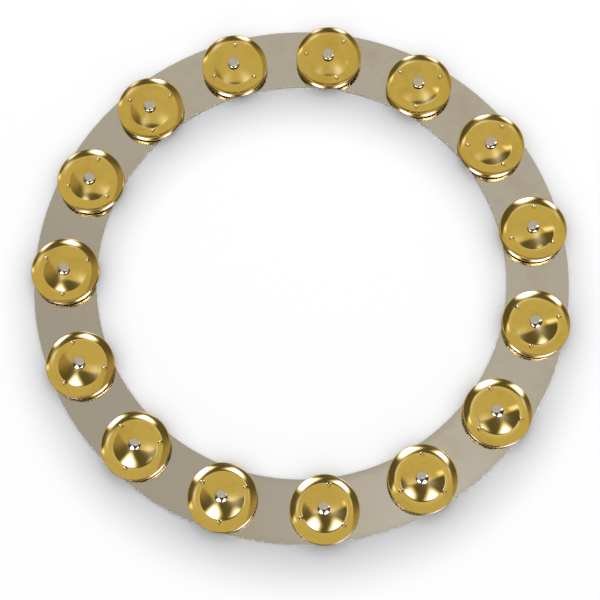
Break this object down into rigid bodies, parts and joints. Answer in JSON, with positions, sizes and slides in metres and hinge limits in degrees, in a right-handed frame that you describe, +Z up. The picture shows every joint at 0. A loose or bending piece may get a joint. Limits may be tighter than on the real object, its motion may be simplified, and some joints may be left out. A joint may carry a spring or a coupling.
{
  "type": "jingle ring",
  "caption": "Flat metal ring plate carrying pairs of loose brass jingles on upright rivets, laid on a drum or shaken by hand so that the pairs rattle.",
  "frame": {"origin": "centre of the ring on the plate's underside", "axes": "+Z up, square to the plate, from its underside towards the rivet heads; +Y from the ring's centre through the first rivet"},
  "size_m": [0.3574, 0.3573, 0.0128],
  "materials": {
    "plate": "satin nickel plating on sheet steel",
    "rivet": "polished nickel plating",
    "jingle": "polished pressed brass"
  },
  "bodies": {
    "ring": {"ring_plate": "plate", "rivet_01": "rivet", "rivet_02": "rivet", "rivet_03": "rivet", "rivet_04": "rivet", "rivet_05": "rivet", "rivet_06": "rivet", "rivet_07": "rivet", "rivet_08": "rivet", "rivet_09": "rivet", "rivet_10": "rivet", "rivet_11": "rivet", "rivet_12": "rivet", "rivet_13": "rivet", "rivet_14": "rivet", "rivet_15": "rivet"},
    "lower_01": {"lower_jingle_01": "jingle"},
    "upper_01": {"upper_jingle_01": "jingle"},
    "lower_02": {"lower_jingle_02": "jingle"},
    "upper_02": {"upper_jingle_02": "jingle"},
    "lower_03": {"lower_jingle_03": "jingle"},
    "upper_03": {"upper_jingle_03": "jingle"},
    "lower_04": {"lower_jingle_04": "jingle"},
    "upper_04": {"upper_jingle_04": "jingle"},
    "lower_05": {"lower_jingle_05": "jingle"},
    "upper_05": {"upper_jingle_05": "jingle"},
    "lower_06": {"lower_jingle_06": "jingle"},
    "upper_06": {"upper_jingle_06": "jingle"},
    "lower_07": {"lower_jingle_07": "jingle"},
    "upper_07": {"upper_jingle_07": "jingle"},
    "lower_08": {"lower_jingle_08": "jingle"},
    "upper_08": {"upper_jingle_08": "jingle"},
    "lower_09": {"lower_jingle_09": "jingle"},
    "upper_09": {"upper_jingle_09": "jingle"},
    "lower_10": {"lower_jingle_10": "jingle"},
    "upper_10": {"upper_jingle_10": "jingle"},
    "lower_11": {"lower_jingle_11": "jingle"},
    "upper_11": {"upper_jingle_11": "jingle"},
    "lower_12": {"lower_jingle_12": "jingle"},
    "upper_12": {"upper_jingle_12": "jingle"},
    "lower_13": {"lower_jingle_13": "jingle"},
    "upper_13": {"upper_jingle_13": "jingle"},
    "lower_14": {"lower_jingle_14": "jingle"},
    "upper_14": {"upper_jingle_14": "jingle"},
    "lower_15": {"lower_jingle_15": "jingle"},
    "upper_15": {"upper_jingle_15": "jingle"}
  },
  "joints": [
    {"name": "lower_01_rise", "type": "slide", "parent": "ring", "child": "lower_01", "axis": [0, 0, 1], "range_m": [0, 0.0007]},
    {"name": "upper_01_rise", "type": "slide", "parent": "lower_01", "child": "upper_01", "axis": [0, 0, 1], "range_m": [0, 0.0008]},
    {"name": "lower_02_rise", "type": "slide", "parent": "ring", "child": "lower_02", "axis": [0, 0, 1], "range_m": [0, 0.0007]},
    {"name": "upper_02_rise", "type": "slide", "parent": "lower_02", "child": "upper_02", "axis": [0, 0, 1], "range_m": [0, 0.0008]},
    {"name": "lower_03_rise", "type": "slide", "parent": "ring", "child": "lower_03", "axis": [0, 0, 1], "range_m": [0, 0.0007]},
    {"name": "upper_03_rise", "type": "slide", "parent": "lower_03", "child": "upper_03", "axis": [0, 0, 1], "range_m": [0, 0.0008]},
    {"name": "lower_04_rise", "type": "slide", "parent": "ring", "child": "lower_04", "axis": [0, 0, 1], "range_m": [0, 0.0007]},
    {"name": "upper_04_rise", "type": "slide", "parent": "lower_04", "child": "upper_04", "axis": [0, 0, 1], "range_m": [0, 0.0008]},
    {"name": "lower_05_rise", "type": "slide", "parent": "ring", "child": "lower_05", "axis": [0, 0, 1], "range_m": [0, 0.0007]},
    {"name": "upper_05_rise", "type": "slide", "parent": "lower_05", "child": "upper_05", "axis": [0, 0, 1], "range_m": [0, 0.0008]},
    {"name": "lower_06_rise", "type": "slide", "parent": "ring", "child": "lower_06", "axis": [0, 0, 1], "range_m": [0, 0.0007]},
    {"name": "upper_06_rise", "type": "slide", "parent": "lower_06", "child": "upper_06", "axis": [0, 0, 1], "range_m": [0, 0.0008]},
    {"name": "lower_07_rise", "type": "slide", "parent": "ring", "child": "lower_07", "axis": [0, 0, 1], "range_m": [0, 0.0007]},
    {"name": "upper_07_rise", "type": "slide", "parent": "lower_07", "child": "upper_07", "axis": [0, 0, 1], "range_m": [0, 0.0008]},
    {"name": "lower_08_rise", "type": "slide", "parent": "ring", "child": "lower_08", "axis": [0, 0, 1], "range_m": [0, 0.0007]},
    {"name": "upper_08_rise", "type": "slide", "parent": "lower_08", "child": "upper_08", "axis": [0, 0, 1], "range_m": [0, 0.0008]},
    {"name": "lower_09_rise", "type": "slide", "parent": "ring", "child": "lower_09", "axis": [0, 0, 1], "range_m": [0, 0.0007]},
    {"name": "upper_09_rise", "type": "slide", "parent": "lower_09", "child": "upper_09", "axis": [0, 0, 1], "range_m": [0, 0.0008]},
    {"name": "lower_10_rise", "type": "slide", "parent": "ring", "child": "lower_10", "axis": [0, 0, 1], "range_m": [0, 0.0007]},
    {"name": "upper_10_rise", "type": "slide", "parent": "lower_10", "child": "upper_10", "axis": [0, 0, 1], "range_m": [0, 0.0008]},
    {"name": "lower_11_rise", "type": "slide", "parent": "ring", "child": "lower_11", "axis": [0, 0, 1], "range_m": [0, 0.0007]},
    {"name": "upper_11_rise", "type": "slide", "parent": "lower_11", "child": "upper_11", "axis": [0, 0, 1], "range_m": [0, 0.0008]},
    {"name": "lower_12_rise", "type": "slide", "parent": "ring", "child": "lower_12", "axis": [0, 0, 1], "range_m": [0, 0.0007]},
    {"name": "upper_12_rise", "type": "slide", "parent": "lower_12", "child": "upper_12", "axis": [0, 0, 1], "range_m": [0, 0.0008]},
    {"name": "lower_13_rise", "type": "slide", "parent": "ring", "child": "lower_13", "axis": [0, 0, 1], "range_m": [0, 0.0007]},
    {"name": "upper_13_rise", "type": "slide", "parent": "lower_13", "child": "upper_13", "axis": [0, 0, 1], "range_m": [0, 0.0008]},
    {"name": "lower_14_rise", "type": "slide", "parent": "ring", "child": "lower_14", "axis": [0, 0, 1], "range_m": [0, 0.0007]},
    {"name": "upper_14_rise", "type": "slide", "parent": "lower_14", "child": "upper_14", "axis": [0, 0, 1], "range_m": [0, 0.0008]},
    {"name": "lower_15_rise", "type": "slide", "parent": "ring", "child": "lower_15", "axis": [0, 0, 1], "range_m": [0, 0.0007]},
    {"name": "upper_15_rise", "type": "slide", "parent": "lower_15", "child": "upper_15", "axis": [0, 0, 1], "range_m": [0, 0.0008]}
  ]
}
